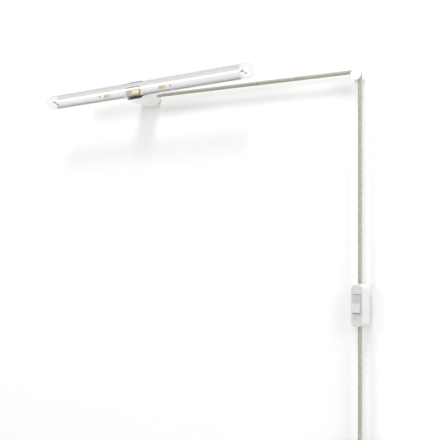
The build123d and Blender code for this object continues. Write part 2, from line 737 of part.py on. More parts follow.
SHELL_SCREWS = [(-9.7, 25.5), (9.7, 25.5), (-9.7, -22.5), (9.7, -22.5)]
with BuildPart() as switch_back:
    with BuildSketch(switch_level(-0.05)):
        RectangleRounded(SWITCH_W, SWITCH_H, SWITCH_CORNER)
    extrude(amount=-(SWITCH_BACK - 0.05))
    fillet(switch_back.faces().sort_by(Axis(switch_plane.origin, switch_plane.z_dir))[0].edges(),
           SWITCH_EDGE)
    with BuildSketch(switch_level(0)):
        RectangleRounded(SWITCH_W - 2 * SWITCH_WALL, SWITCH_H - 2 * SWITCH_WALL,
                         SWITCH_CORNER - SWITCH_WALL)
    extrude(amount=-(SWITCH_BACK - SWITCH_WALL), mode=Mode.SUBTRACT)
    with BuildSketch(switch_level(-SWITCH_BACK + SWITCH_WALL)):
        with Locations(*SHELL_SCREWS):
            Circle(2.0)
    extrude(amount=SWITCH_BACK - SWITCH_WALL - 1)
    with BuildSketch(switch_level(-SWITCH_BACK)):
        with Locations(*SHELL_SCREWS):
            Circle(1.3)
    extrude(amount=SWITCH_BACK, mode=Mode.SUBTRACT)
    with BuildSketch(cord_section(SWITCH_TOP_Z - SWITCH_H)):
        Circle(CORD_HOLE_R)
    extrude(amount=SWITCH_H, mode=Mode.SUBTRACT)
switch_back.part.label = "switch_back"
export_step(switch_back.part, "parts/switch_back.step")

with BuildPart() as switch_screws:
    with BuildSketch(switch_level(-SWITCH_BACK + 0.3)):
        with Locations(*SHELL_SCREWS):
            Circle(1.25)
    extrude(amount=SWITCH_BACK + 3.5)
switch_screws.part.label = "switch_screws"
export_step(switch_screws.part, "parts/switch_screws.step")

with BuildPart() as rocker_pin:
    with BuildSketch(switch_side):
        with Locations((PIVOT_Y, PIVOT_Z)):
            Circle(ROCKER_PIN_R)
    extrude(amount=PIN_LEN / 2, both=True)
rocker_pin.part.label = "rocker_pin"
export_step(rocker_pin.part, "parts/rocker_pin.step")

rocker_centre = switch_plane.from_local_coords(Vector(0, PIVOT_Y, PIVOT_Z))
# The rocker at rest has its upper half pressed in.
rocker_frame = tilted_frame(rocker_centre, -ROCKER_TILT)
rocker_side = Plane(
    origin=rocker_centre - switch_plane.x_dir * (ROCKER_W / 2),
    x_dir=rocker_frame.y_dir,
    z_dir=rocker_frame.x_dir,
)
ROCKER_TOP = 5.0           # height of the middle of the rocker above its pin
ROCKER_BOTTOM = 2.6
rocker_rise = ROCKER_L / 2 * tan(radians(ROCKER_TILT))

with BuildPart() as rocker:
    with BuildSketch(rocker_side):
        with BuildLine():
            Polyline(
                (-ROCKER_L / 2 - 1, -ROCKER_BOTTOM),
                (ROCKER_L / 2 + 1, -ROCKER_BOTTOM),
                (ROCKER_L / 2 + 1, ROCKER_TOP + rocker_rise),
                (0, ROCKER_TOP),
                (-ROCKER_L / 2 - 1, ROCKER_TOP + rocker_rise),
                close=True,
            )
        make_face()
        Circle(ROCKER_L / 2, mode=Mode.INTERSECT)
        Circle(ROCKER_PIN_R + 0.04, mode=Mode.SUBTRACT)
    extrude(amount=ROCKER_W)
rocker.part.label = "rocker"
export_step(rocker.part, "parts/rocker.step")

PLUNGER_REACH = 8.5
with BuildPart() as rocker_plunger:
    with BuildSketch(rocker_frame.offset(-PLUNGER_REACH)):
        Circle(1.2)
    extrude(amount=PLUNGER_REACH - ROCKER_BOTTOM)
rocker_plunger.part.label = "rocker_plunger"
export_step(rocker_plunger.part, "parts/rocker_plunger.step")

SEESAW_Z = -4.6
SEESAW_LEN = 15.0
seesaw_centre = switch_plane.from_local_coords(Vector(0, PIVOT_Y, SEESAW_Z))
seesaw_frame = tilted_frame(seesaw_centre, ROCKER_TILT)
TRUNNION_R = 0.8
with BuildPart(seesaw_frame) as seesaw_contact:
    with Locations((0, 0, 0.9)):
        Box(4.4, SEESAW_LEN, 0.8)
    Cylinder(TRUNNION_R, 4.4, rotation=(0, 90, 0))
seesaw_contact.part.label = "seesaw_contact"
export_step(seesaw_contact.part, "parts/seesaw_contact.step")

with BuildPart() as seesaw_post:
    with BuildSketch(switch_level(-SWITCH_BACK + SWITCH_WALL)):
        with Locations((0, PIVOT_Y)):
            Rectangle(5.0, 3.0)
    extrude(amount=SEESAW_Z - 1.1 + SWITCH_BACK - SWITCH_WALL)
seesaw_post.part.label = "seesaw_post"
export_step(seesaw_post.part, "parts/seesaw_post.step")

TERMINALS = [(-5.0, 24.0), (5.0, 24.0), (-5.0, -21.0), (5.0, -21.0)]
with BuildPart() as switch_terminals:
    with BuildSketch(switch_level(-SWITCH_BACK + SWITCH_WALL)):
        with Locations(*TERMINALS):
            Rectangle(4.6, 7.0)
    extrude(amount=6.0)
switch_terminals.part.label = "switch_terminals"
export_step(switch_terminals.part, "parts/switch_terminals.step")

with BuildPart() as switch_terminal_screws:
    with BuildSketch(switch_level(-SWITCH_BACK + SWITCH_WALL + 6.0)):
        with Locations(*TERMINALS):
            Circle(1.7)
    extrude(amount=1.2)
switch_terminal_screws.part.label = "switch_terminal_screws"
export_step(switch_terminal_screws.part, "parts/switch_terminal_screws.step")

CLAMP_Y = 30.6
with BuildPart(switch_plane) as switch_clamps:
    with Locations((0, CLAMP_Y, -CORD_R - 1.0), (0, 1.2 - CLAMP_Y, -CORD_R - 1.0)):
        Box(13.0, 3.4, 1.8)
switch_clamps.part.label = "switch_clamps"
export_step(switch_clamps.part, "parts/switch_clamps.step")

# ================================================================ plug
plug_x = coil_x + COIL_R
RELIEF_LEN = 26.0
RELIEF_TOP_R = 4.4
RELIEF_BASE_R = 6.2
PLUG_W = 35.0
PLUG_T = 13.7
PLUG_LEN = 34.0
PLUG_PIN_R = 2.0
PLUG_PIN_LEN = 19.0
PLUG_PIN_GAP = 18.6
PIN_ROOT_R = 1.6
plug_top_z = RELIEF_TOP_Z - RELIEF_LEN
plug_face_z = plug_top_z - PLUG_LEN

with BuildPart() as plug_relief:
    with BuildSketch(Plane.XY.offset(RELIEF_TOP_Z)):
        with Locations((plug_x, -CORD_OUT)):
            Circle(RELIEF_TOP_R)
    with BuildSketch(Plane.XY.offset(plug_top_z)):
        with Locations((plug_x, -CORD_OUT)):
            Circle(RELIEF_BASE_R)
    loft()
    with BuildSketch(Plane.XY.offset(plug_top_z)):
        with Locations((plug_x, -CORD_OUT)):
            Circle(CORD_R + 0.02)
    extrude(amount=RELIEF_LEN, mode=Mode.SUBTRACT)
plug_relief.part.label = "plug_relief"
export_step(plug_relief.part, "parts/plug_relief.step")

with BuildPart() as plug_body:
    with BuildSketch(Plane.XY.offset(plug_face_z)):
        with Locations((plug_x, -CORD_OUT)):
            RectangleRounded(PLUG_W, PLUG_T, 5.5)
    with BuildSketch(Plane.XY.offset(plug_face_z + 0.55 * PLUG_LEN)):
        with Locations((plug_x, -CORD_OUT)):
            RectangleRounded(PLUG_W - 5, PLUG_T, 5.5)
    with BuildSketch(Plane.XY.offset(plug_top_z)):
        with Locations((plug_x, -CORD_OUT)):
            RectangleRounded(14.0, 12.6, 5.5)
    loft(ruled=True)
    with BuildSketch(Plane.XY.offset(plug_face_z)):
        with Locations((plug_x, -CORD_OUT)):
            with GridLocations(PLUG_PIN_GAP, 0, 2, 1):
                Circle(PIN_ROOT_R + 0.05)
    extrude(amount=12, mode=Mode.SUBTRACT)
plug_body.part.label = "plug_body"
export_step(plug_body.part, "parts/plug_body.step")

with BuildPart() as plug_pins:
    with BuildSketch(Plane.XY.offset(plug_face_z - PLUG_PIN_LEN)):
        with Locations((plug_x, -CORD_OUT)):
            with GridLocations(PLUG_PIN_GAP, 0, 2, 1):
                Circle(PLUG_PIN_R)
    extrude(amount=PLUG_PIN_LEN - 0.05)
    chamfer(plug_pins.edges().group_by(Axis.Z)[0], 0.6)
    with BuildSketch(Plane.XY.offset(plug_face_z - 0.05)):
        with Locations((plug_x, -CORD_OUT)):
            with GridLocations(PLUG_PIN_GAP, 0, 2, 1):
                Circle(PIN_ROOT_R)
    extrude(amount=11.8)
plug_pins.part.label = "plug_pins"
export_step(plug_pins.part, "parts/plug_pins.step")

# ================================================================ cord
SWITCH_BITE = 6.0          # how far the cord reaches into the switch


def cord_tube(path):
    """Round tube of the cord's diameter along a finished path."""
    with BuildPart() as tube:
        with BuildSketch(Plane(origin=path @ 0, z_dir=path % 0)):
            Circle(CORD_R)
        sweep(path=path)
    return tube


def report_length(name, tube, path):
    """Print the path's length, and the tube's volume against section times length."""
    length = path.length
    ratio = tube.part.volume / (pi * CORD_R**2 * length)
    print(f"{name}: length {length:.1f} mm, volume over section times length {ratio:.4f}")


with BuildLine() as upper_path:
    FilletPolyline(
        (CORD_END_X, -CORD_OUT, CORD_EXIT_Z + CORD_DROP * (HOLDER_R - CORD_END_X)),
        (CORD_X, -CORD_OUT, arm_corner_z),
        (CORD_X, -CORD_OUT, SWITCH_TOP_Z - SWITCH_BITE),
        radius=peg_offset,
    )
cord_upper = cord_tube(upper_path.wire())
cord_upper.part.label = "cord_upper"
export_step(cord_upper.part, "parts/cord_upper.step")
report_length("cord_upper", cord_upper, upper_path.wire())

bend_corner_z = BEND_Z - BEND_R * tan(radians(22.5))
joint_x = coil_x + COIL_R * cos(radians(45))
joint_z = coil_z + COIL_R * sin(radians(45))
with BuildLine() as lower_path:
    FilletPolyline(
        (CORD_X, -CORD_OUT, SWITCH_TOP_Z - SWITCH_H + SWITCH_BITE),
        (CORD_X, -CORD_OUT, bend_corner_z),
        (joint_x + 0.01, -CORD_OUT, joint_z - 0.01),
        radius=BEND_R,
    )
cord_lower = cord_tube(lower_path.wire())
cord_lower.part.label = "cord_lower"
export_step(cord_lower.part, "parts/cord_lower.step")
report_length("cord_lower", cord_lower, lower_path.wire())
print(f"radii: peg {peg_offset:.2f} mm, bend into the coil {BEND_R:.1f} mm")

with BuildPart(Plane(origin=(coil_x, -CORD_OUT, coil_z), z_dir=(0, -1, 0))) as cord_coil:
    Torus(COIL_R, COIL_TUBE_R)
cord_coil.part.label = "cord_coil"
export_step(cord_coil.part, "parts/cord_coil.step")

tail_len = coil_z - plug_top_z
with BuildPart() as cord_tail:
    with BuildSketch(Plane.XY.offset(plug_top_z + 0.2)):
        with Locations((plug_x, -CORD_OUT)):
            Circle(CORD_R)
    extrude(amount=tail_len - 0.2)
cord_tail.part.label = "cord_tail"
export_step(cord_tail.part, "parts/cord_tail.step")

TIE_ANGLE = 50.0           # where the tie sits on the coil, up from its right end
TIE_W = 11.0
TIE_T = 1.3
TIE_SLACK = 1.0
TIE_FRONT = 5.6            # room for one more strand in front of the turns
tie_turn = radians(TIE_ANGLE)
tie_outward = Vector(cos(tie_turn), 0, sin(tie_turn))
tie_along = Vector(sin(tie_turn), 0, -cos(tie_turn))
tie_middle = Vector(coil_x, -CORD_OUT - TIE_FRONT / 2, coil_z) + tie_outward * COIL_R
tie_plane = Plane(
    origin=tie_middle - tie_along * (TIE_W / 2),
    x_dir=tie_outward,
    z_dir=tie_along,
)
tie_half = COIL_TUBE_R + TIE_SLACK
with BuildPart() as cord_tie:
    with BuildSketch(tie_plane):
        RectangleRounded(2 * (tie_half + TIE_T), 2 * (tie_half + TIE_T) + TIE_FRONT, 8.5 + TIE_T)
        RectangleRounded(2 * tie_half, 2 * tie_half + TIE_FRONT, 8.5, mode=Mode.SUBTRACT)
    extrude(amount=TIE_W)
cord_tie.part.label = "cord_tie"
export_step(cord_tie.part, "parts/cord_tie.step")

print(f"peg at x {peg_x:.2f} z {peg_z:.2f}; coil at x {coil_x:.2f} z {coil_z:.2f}")
print(f"plug x {plug_x:.2f}, its face z {plug_face_z:.2f}")
print("rocker pivot", rocker_centre, "axis", switch_plane.x_dir)
print("seesaw pivot", seesaw_centre)
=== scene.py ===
"""Wall lamp with a glass tube on a round holder, its textile cord led over a wall peg to an inline switch."""

import json
import math

import bpy
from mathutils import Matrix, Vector


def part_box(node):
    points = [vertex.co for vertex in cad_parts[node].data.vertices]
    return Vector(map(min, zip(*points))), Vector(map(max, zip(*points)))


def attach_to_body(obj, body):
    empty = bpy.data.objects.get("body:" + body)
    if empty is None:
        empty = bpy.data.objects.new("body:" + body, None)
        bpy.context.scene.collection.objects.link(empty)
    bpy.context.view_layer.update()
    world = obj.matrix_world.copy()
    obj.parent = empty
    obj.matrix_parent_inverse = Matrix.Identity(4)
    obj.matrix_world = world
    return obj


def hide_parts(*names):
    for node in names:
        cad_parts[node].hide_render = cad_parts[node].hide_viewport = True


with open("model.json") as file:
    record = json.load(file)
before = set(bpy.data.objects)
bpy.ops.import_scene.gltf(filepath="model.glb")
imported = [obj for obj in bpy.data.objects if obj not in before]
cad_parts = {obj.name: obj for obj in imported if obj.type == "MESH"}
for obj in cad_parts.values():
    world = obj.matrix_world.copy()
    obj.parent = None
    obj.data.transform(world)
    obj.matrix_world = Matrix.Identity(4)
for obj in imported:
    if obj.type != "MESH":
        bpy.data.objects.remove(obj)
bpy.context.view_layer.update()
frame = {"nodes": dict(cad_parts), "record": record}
NODES = frame["nodes"]
MM = 0.001
BLACK = (0.0, 0.0, 0.0)
FRONT = Vector((0, -1, 0))  # away from the wall

# ---------------------------------------------------------------- places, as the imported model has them
CORD_R = 3.5 * MM
CORD_Y = -14.5 * MM
CORD_X = 455.4 * MM  # the hanging cord
SWITCH_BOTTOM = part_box("switch_front")[0].z
RELIEF_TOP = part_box("plug_relief")[1].z
PLUG_X = 479.56 * MM
COIL_X = 442.06 * MM
COIL_Z = -710.34 * MM
COIL_R = 37.5 * MM  # to the middle of the bundle of turns
BODY_FRONT = -64.5  # mm, front face of the body inside the glass
CHOKE_X = 7.5  # mm, middle of the choke on that face
CHOKE_Z = -6.5


# ---------------------------------------------------------------- materials
class Finish:
    """A Principled material whose colour, roughness and relief come from nodes."""

    def __init__(self, name, colour, rough, **sockets):
        self.mat = bpy.data.materials.new(name)
        self.mat.use_nodes = True
        self.mat.diffuse_color = (*colour, 1)
        self.tree = self.mat.node_tree
        self.bsdf = self.tree.nodes["Principled BSDF"]
        self.put(Base_Color=(*colour, 1), Roughness=rough, **sockets)
        self.place = self.node("ShaderNodeTexCoord").outputs["Object"]

    def put(self, **sockets):
        """Sets the shader's own sockets, with _ for a space in their names."""
        for key, value in sockets.items():
            self.bsdf.inputs[key.replace("_", " ")].default_value = value

    def node(self, kind, **settings):
        """A new node with those settings."""
        made = self.tree.nodes.new(kind)
        for key, value in settings.items():
            setattr(made, key, value)
        return made

    def link(self, source, target):
        self.tree.links.new(source, target)

    def noise(self, scale, detail=3.0, stretch=(1, 1, 1), place=None):
        """Noise with about that many features a metre, stretched along the axes."""
        spread = self.node("ShaderNodeMapping")
        spread.inputs["Scale"].default_value = stretch
        self.link(place or self.place, spread.inputs["Vector"])
        made = self.node("ShaderNodeTexNoise")
        made.inputs["Scale"].default_value = scale
        made.inputs["Detail"].default_value = detail
        self.link(spread.outputs["Vector"], made.inputs["Vector"])
        return made.outputs["Fac"]

    def ramp(self, source, *stops):
        """Colours by value: each stop is (place, colour)."""
        made = self.node("ShaderNodeValToRGB")
        ends = made.color_ramp.elements
        while len(ends) < len(stops):
            ends.new(0.5)
        for end, (place, colour) in zip(ends, stops):
            end.position = place
            end.color = (*colour, 1)
        self.link(source, made.inputs["Fac"])
        return made.outputs["Color"]

    def span(self, source, **ends):
        """A value moved from one range to another: From_Min, From_Max, To_Min, To_Max."""
        made = self.node("ShaderNodeMapRange")
        for key, value in ends.items():
            made.inputs[key.replace("_", " ")].default_value = value
        self.link(source, made.inputs["Value"])
        return made.outputs["Result"]

    def math(self, kind, first, second=None):
        """One sum on a socket and a second socket or number."""
        made = self.node("ShaderNodeMath", operation=kind)
        self.link(first, made.inputs[0])
        if isinstance(second, float):
            made.inputs[1].default_value = second
        elif second is not None:
            self.link(second, made.inputs[1])
        return made.outputs["Value"]

    def mix(self, amount, first, second, blend="MIX"):
        """Blend of two colours by amount. Each of the three is a socket or a value."""
        made = self.node("ShaderNodeMix", data_type="RGBA", blend_type=blend)
        slots = [s for s in made.inputs if s.type == "RGBA"]
        for slot, value in zip((made.inputs["Factor"], *slots), (amount, first, second)):
            if isinstance(value, float):
                slot.default_value = value
            elif isinstance(value, tuple):
                slot.default_value = (*value, 1)
            else:
                self.link(value, slot)
        return [s for s in made.outputs if s.type == "RGBA"][0]

    def colour(self, source):
        """Takes the base colour from a socket."""
        self.link(source, self.bsdf.inputs["Base Color"])

    def rough(self, source, low, high):
        """Roughness between low and high by a socket from 0 to 1."""
        self.link(self.span(source, To_Min=low, To_Max=high), self.bsdf.inputs["Roughness"])

    def bump(self, height, strength, distance):
        """Fine relief from a height socket."""
        made = self.node("ShaderNodeBump")
        made.inputs["Strength"].default_value = strength
        made.inputs["Distance"].default_value = distance
        self.link(height, made.inputs["Height"])
        self.link(made.outputs["Normal"], self.bsdf.inputs["Normal"])

    def level(self, low, high):
        """0 to 1 by height, between two heights in mm."""
        split = self.node("ShaderNodeSeparateXYZ")
        self.link(self.place, split.inputs["Vector"])
        return self.span(split.outputs["Z"], From_Min=low * MM, From_Max=high * MM)

    def clear(self, amount, first, second):
        """Ends the material in a mix of two shaders by amount."""
        both = self.node("ShaderNodeMixShader")
        for source, target in zip((amount, first, second), both.inputs):
            self.link(source, target)
        self.link(both.outputs["Shader"], self.tree.nodes["Material Output"].inputs["Surface"])


def painted(name, light, dark, rough, grain=900.0):
    """Powder coat or moulded plastic: a fine orange peel and slightly uneven tone."""
    made = Finish(name, light, rough)
    made.colour(made.ramp(made.noise(35.0), (0.3, dark), (0.7, light)))
    made.rough(made.noise(120.0), rough - 0.05, rough + 0.07)
    made.bump(made.noise(grain, 2.0), 0.25, 0.12 * MM)
    return made.mat


def metal(name, light, dark, rough, stretch=(1, 1, 1)):
    """Plated or bare metal with fine drawn marks and duller patches."""
    made = Finish(name, light, rough, Metallic=1.0)
    made.colour(made.ramp(made.noise(90.0), (0.35, dark), (0.65, light)))
    made.rough(made.noise(300.0), rough - 0.06, rough + 0.14)
    made.bump(made.noise(700.0, 3.0, stretch), 0.3, 0.08 * MM)
    return made.mat


def phosphor():
    """Pale yellow light strip and its chips, lit."""
    light, dark = (0.95, 0.90, 0.70), (0.90, 0.84, 0.60)
    made = Finish("phosphor", light, 0.5, Emission_Color=(1.0, 0.96, 0.84, 1), Emission_Strength=0.9)
    made.colour(made.ramp(made.noise(60.0), (0.3, dark), (0.7, light)))
    made.bump(made.noise(1500.0, 2.0), 0.15, 0.1 * MM)
    return made.mat


def frosted():
    """Frosted grey upper half, lighter toward the strip that lights it."""
    made = Finish("frosted_grey", (0.70, 0.70, 0.71), 0.55)
    # A faint painted glow, as if the strip lit the frosted half.
    made.put(Emission_Color=(1.0, 0.99, 0.97, 1), Emission_Strength=0.04)
    # Painted light: lightest just above the strip, darker toward the top.
    tone = made.ramp(
        made.level(1.5, 13.0),
        (0.0, (0.70, 0.70, 0.69)),
        (0.5, (0.64, 0.64, 0.635)),
        (0.85, (0.57, 0.57, 0.57)),
        (1.0, (0.46, 0.46, 0.46)),
    )
    cloud = made.ramp(made.noise(18.0), (0.45, BLACK), (0.8, (0.3, 0.3, 0.3)))
    made.colour(made.mix(cloud, tone, (0.64, 0.60, 0.68)))
    made.bump(made.noise(1500.0, 2.0), 0.15, 0.1 * MM)
    return made.mat


def reflector():
    """White trough with painted light: bright under the strip, painted shade greying it toward its lower
    edge, and a faint painted glow.
    """
    made = Finish("reflector_white", (0.86, 0.86, 0.87), 0.38)
    # A faint painted glow, as if the strip lit the trough.
    made.put(Emission_Color=(1.0, 0.97, 0.93, 1), Emission_Strength=0.04)
    # Painted shade: from bright just under the strip to dark grey at the trough's lower edge.
    tone = made.ramp(
        made.level(-13.0, -0.5),
        (0.0, (0.22, 0.21, 0.20)),
        (0.10, (0.52, 0.52, 0.52)),
        (0.45, (0.74, 0.735, 0.745)),
        (1.0, (0.82, 0.82, 0.81)),
    )
    blush = made.ramp(made.noise(26.0), (0.45, BLACK), (0.75, (0.35, 0.35, 0.35)))
    made.colour(made.mix(blush, tone, (0.80, 0.72, 0.80)))
    made.rough(made.noise(200.0), 0.32, 0.46)
    made.bump(made.noise(60.0, 2.0, (0.2, 1, 1)), 0.1, 0.4 * MM)
    return made.mat


def glass():
    """Thin clear glass: light goes straight through, and the edges catch the room."""
    made = Finish("clear_glass", (0.42, 0.425, 0.43), 0.04, Specular_IOR_Level=0.6)
    made.bump(made.noise(22.0, 1.0, (0.3, 1, 1)), 0.12, 0.6 * MM)
    through = made.node("ShaderNodeBsdfTransparent")
    through.inputs["Color"].default_value = (0.975, 0.977, 0.98, 1)
    edge = made.node("ShaderNodeLayerWeight")
    edge.inputs["Blend"].default_value = 0.045
    made.clear(edge.outputs["Facing"], through.outputs["BSDF"], made.bsdf.outputs["BSDF"])
    return made.mat


def textile():
    """Braided cotton over a lead: khaki and brown yarns that cross along the cord."""
    made = Finish("cord_textile", (0.5, 0.48, 0.38), 0.88, Sheen_Weight=0.25, Sheen_Roughness=0.5)
    strip = made.node("ShaderNodeUVMap", uv_map="UVMap").outputs["UV"]
    split = made.node("ShaderNodeSeparateXYZ")
    made.link(strip, split.inputs["Vector"])
    lean = made.math("MULTIPLY", split.outputs["X"], 4.0)
    turn = made.math("MULTIPLY", split.outputs["Y"], 10.0)
    one_way = made.math("ADD", turn, lean)
    other_way = made.math("SUBTRACT", turn, lean)
    ridges = [made.math("PINGPONG", way, 0.5) for way in (one_way, other_way)]
    over = made.math("MAXIMUM", *ridges)
    tint = made.math("FRACT", made.math("MULTIPLY", made.math("FLOOR", one_way), 0.2))
    yarn = made.ramp(
        tint,
        (0.0, (0.385, 0.375, 0.30)),
        (0.15, (0.445, 0.435, 0.37)),
        (1.0, (0.485, 0.475, 0.43)),
    )
    patch = made.noise(1.1, 3.0, (1, 2, 1), strip)
    brown = made.ramp(patch, (0.52, BLACK), (0.72, (0.40, 0.40, 0.40)))
    worn = made.mix(brown, yarn, (0.30, 0.22, 0.13))
    # Painted shade: the colour is darker in the grooves between the yarns.
    painted_gap_shade = made.ramp(over, (0.08, (0.45, 0.45, 0.45)), (0.30, (1.0, 1.0, 1.0)))
    made.colour(made.mix(1.0, worn, painted_gap_shade, "MULTIPLY"))
    made.bump(over, 0.9, 0.5 * MM)
    return made.mat


def woven_strap():
    """Hook-and-loop tape: a ribbed weave with loose loops."""
    made = Finish("tie_strap", (0.05, 0.05, 0.055), 0.92, Sheen_Weight=0.5)
    rib = made.node("ShaderNodeTexWave", wave_type="BANDS", bands_direction="Y")
    rib.inputs["Scale"].default_value = 320.0
    rib.inputs["Distortion"].default_value = 2.5
    made.link(made.place, rib.inputs["Vector"])
    fuzz = made.noise(1400.0)
    made.colour(made.ramp(fuzz, (0.35, (0.028, 0.028, 0.03)), (0.7, (0.09, 0.09, 0.095))))
    made.bump(made.math("ADD", rib.outputs["Fac"], made.noise(2200.0)), 0.7, 0.3 * MM)
    return made.mat


def stage_paint(name, colour):
    """Plain matt paint that can be seen through from behind."""
    made = Finish(name, colour, 0.9)
    shaded = tuple(c * 0.985 for c in colour)
    made.colour(made.ramp(made.noise(1.2), (0.3, shaded), (0.7, colour)))
    made.bump(made.noise(260.0), 0.05, 0.2 * MM)
    behind = made.node("ShaderNodeNewGeometry").outputs["Backfacing"]
    through = made.node("ShaderNodeBsdfTransparent")
    made.clear(behind, made.bsdf.outputs["BSDF"], through.outputs["BSDF"])
    return made.mat


# name: light tone, dark tone, roughness and, where it isn't the usual one, grain
PLASTICS = {
    "holder_paint": ((0.88, 0.88, 0.87), (0.84, 0.84, 0.83), 0.42),
    "black_moulding": ((0.035, 0.035, 0.036), (0.022, 0.022, 0.023), 0.45),
    "driver_beige": ((0.64, 0.555, 0.475), (0.51, 0.43, 0.35), 0.5, 500.0),
    "coil_brown": ((0.16, 0.075, 0.035), (0.08, 0.036, 0.018), 0.35),
    "choke_cream": ((0.82, 0.72, 0.54), (0.70, 0.58, 0.40), 0.3, 600.0),
    "cradle_clear": ((0.84, 0.77, 0.77), (0.76, 0.69, 0.70), 0.25),
    "nylon": ((0.70, 0.69, 0.65), (0.60, 0.59, 0.55), 0.5),
    "lead_brown": ((0.15, 0.07, 0.035), (0.10, 0.045, 0.02), 0.45),
    "lead_blue": ((0.04, 0.13, 0.42), (0.03, 0.09, 0.30), 0.45),
    "wire_dark": ((0.10, 0.09, 0.085), (0.05, 0.045, 0.04), 0.4),
    "peg_paint": ((0.87, 0.87, 0.86), (0.82, 0.82, 0.81), 0.4),
    "switch_white": ((0.69, 0.68, 0.69), (0.66, 0.65, 0.66), 0.36, 1400.0),
    # Painted shade: the rocker is the switch's white plastic made darker, so it looks no brighter than the
    # switch's front.
    "rocker_white": ((0.57, 0.56, 0.57), (0.54, 0.53, 0.54), 0.32, 1400.0),
    "plug_white": ((0.80, 0.79, 0.77), (0.75, 0.74, 0.72), 0.45, 1400.0),
}
# name: light tone, dark tone, roughness and the stretch of the drawn marks
METALS = {
    "gold": ((0.70, 0.56, 0.36), (0.54, 0.41, 0.24), 0.5),
    "brass_contact": ((0.82, 0.64, 0.34), (0.62, 0.46, 0.22), 0.3),
    "zinc_steel": ((0.66, 0.66, 0.67), (0.50, 0.50, 0.52), 0.34, (1, 1, 6)),
    "pin_nickel": ((0.74, 0.72, 0.68), (0.58, 0.56, 0.52), 0.24, (1, 1, 8)),
}
MATS = {name: painted(name, *facts) for name, facts in PLASTICS.items()}
MATS.update({name: metal(name, *facts) for name, facts in METALS.items()})
MATS["phosphor"] = phosphor()
MATS["frosted_grey"] = frosted()
MATS["reflector_white"] = reflector()
MATS["clear_glass"] = glass()
MATS["cord_textile"] = textile()
MATS["tie_strap"] = woven_strap()

for row in frame["record"]["subparts"]:
    shape = NODES[row["node"]]
    shape.data.materials.clear()
    shape.data.materials.append(MATS[row["material_slot"]])
NODES["driver_choke"].data.materials[0] = MATS["choke_cream"]
NODES["choke_frame"].data.materials[0] = MATS["gold"]


# ---------------------------------------------------------------- mesh helpers
def attach(obj, finish, body):
    """Links a piece into the scene with its finish, on its body."""
    bpy.context.collection.objects.link(obj)
    obj.data.materials.clear()
    obj.data.materials.append(MATS[finish])
    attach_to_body(obj, body)
    return obj


def new_piece(name, verts, faces, slot, body):
    """A smooth mesh piece with its finish, riding on a body."""
    mesh = bpy.data.meshes.new(name)
    mesh.from_pydata([tuple(v) for v in verts], [], faces)
    mesh.update()
    mesh.shade_smooth()
    return attach(bpy.data.objects.new(name, mesh), slot, body)


def rounded(turn, wide, tall, power):
    """A point of a rounded rectangle at that angle; a lower power makes it squarer."""
    across, up = math.cos(turn), math.sin(turn)
    return (
        math.copysign(abs(across) ** power, across) * wide,
        math.copysign(abs(up) ** power, up) * tall,
    )


def skin(rows, around):
    """Faces between rings of that many points, one ring after another."""
    faces = []
    for i in range(rows - 1):
        for k in range(around):
            n = (k + 1) % around
            near, far = i * around, (i + 1) * around
            faces.append((near + k, near + n, far + n, far + k))
    return faces


def caps(rows, around):
    """The two end faces of the same rings."""
    last = (rows - 1) * around
    return [tuple(range(around - 1, -1, -1)), tuple(last + k for k in range(around))]


def route_of(cord_object, spacing):
    """Points along a cord's centreline, evenly spaced, read from the curve itself."""
    bare = cord_object.copy()
    bare.data = cord_object.data.copy()
    bare.data.bevel_depth = 0.0
    bpy.context.collection.objects.link(bare)
    bpy.context.view_layer.update()
    graph = bpy.context.evaluated_depsgraph_get()
    mesh = bpy.data.meshes.new_from_object(bare.evaluated_get(graph))
    raw = [v.co.copy() for v in mesh.vertices]
    bpy.data.meshes.remove(mesh)
    bpy.data.objects.remove(bare)
    even, spare = [raw[0]], 0.0
    for a, b in zip(raw, raw[1:]):
        run = (b - a).length
        reach = spacing - spare
        while reach <= run:
            even.append(a.lerp(b, reach / run))
            reach += spacing
        spare = run - (reach - spacing)
    return even


def frames_along(points):
    """Each point with two crosswise directions, which don't twist from one to the next."""
    side = None
    out = []
    for i, p in enumerate(points):
        ahead = points[min(i + 1, len(points) - 1)]
        behind = points[max(i - 1, 0)]
        tangent = (ahead - behind).normalized()
        if side is None:
            side = tangent.cross(Vector((0.3, 1, 0.1))).normalized()
        side = (side - tangent * side.dot(tangent)).normalized()
        out.append((p, side, tangent.cross(side)))
    return out


def tube(name, points, radius, around, slot, body):
    """A tube along points; radius(i, angle) gives its surface. UV: centimetres along, turns around."""
    verts = []
    for i, (p, side, up) in enumerate(frames_along(points)):
        for k in range(around):
            a = 2 * math.pi * k / around
            verts.append(p + (side * math.cos(a) + up * math.sin(a)) * radius(i, a))
    faces = skin(len(points), around) + caps(len(points), around)
    made = new_piece(name, verts, faces, slot, body)
    gone = [0.0]
    for a, b in zip(points, points[1:]):
        gone.append(gone[-1] + (b - a).length * 100)
    strip = made.data.uv_layers.new(name="UVMap")
    for face in made.data.polygons:
        cols = [v % around for v in face.vertices]
        wraps = len(cols) == 4 and max(cols) == around - 1 and min(cols) == 0
        for loop, v, col in zip(face.loop_indices, face.vertices, cols):
            turn = 1.0 if wraps and col == 0 else col / around
            strip.data[loop].uv = (gone[v // around], turn)
    return made


def lathe(name, profile, place, slot, body, steps=48):
    """A piece turned round a vertical axis at place: profile is (radius, height) pairs, lowest first."""
    verts = []
    for r, h in profile:
        for k in range(steps):
            a = 2 * math.pi * k / steps
            verts.append(Vector((r * math.cos(a), r * math.sin(a), h)) + Vector(place))
    faces = skin(len(profile), steps) + caps(len(profile), steps)
    return new_piece(name, verts, faces, slot, body)


def wire(name, points, radius, slot, body):
    """A round wire through points given in mm."""
    return tube(name, [Vector(p) * MM for p in points], lambda i, a: radius * MM, 10, slot, body)


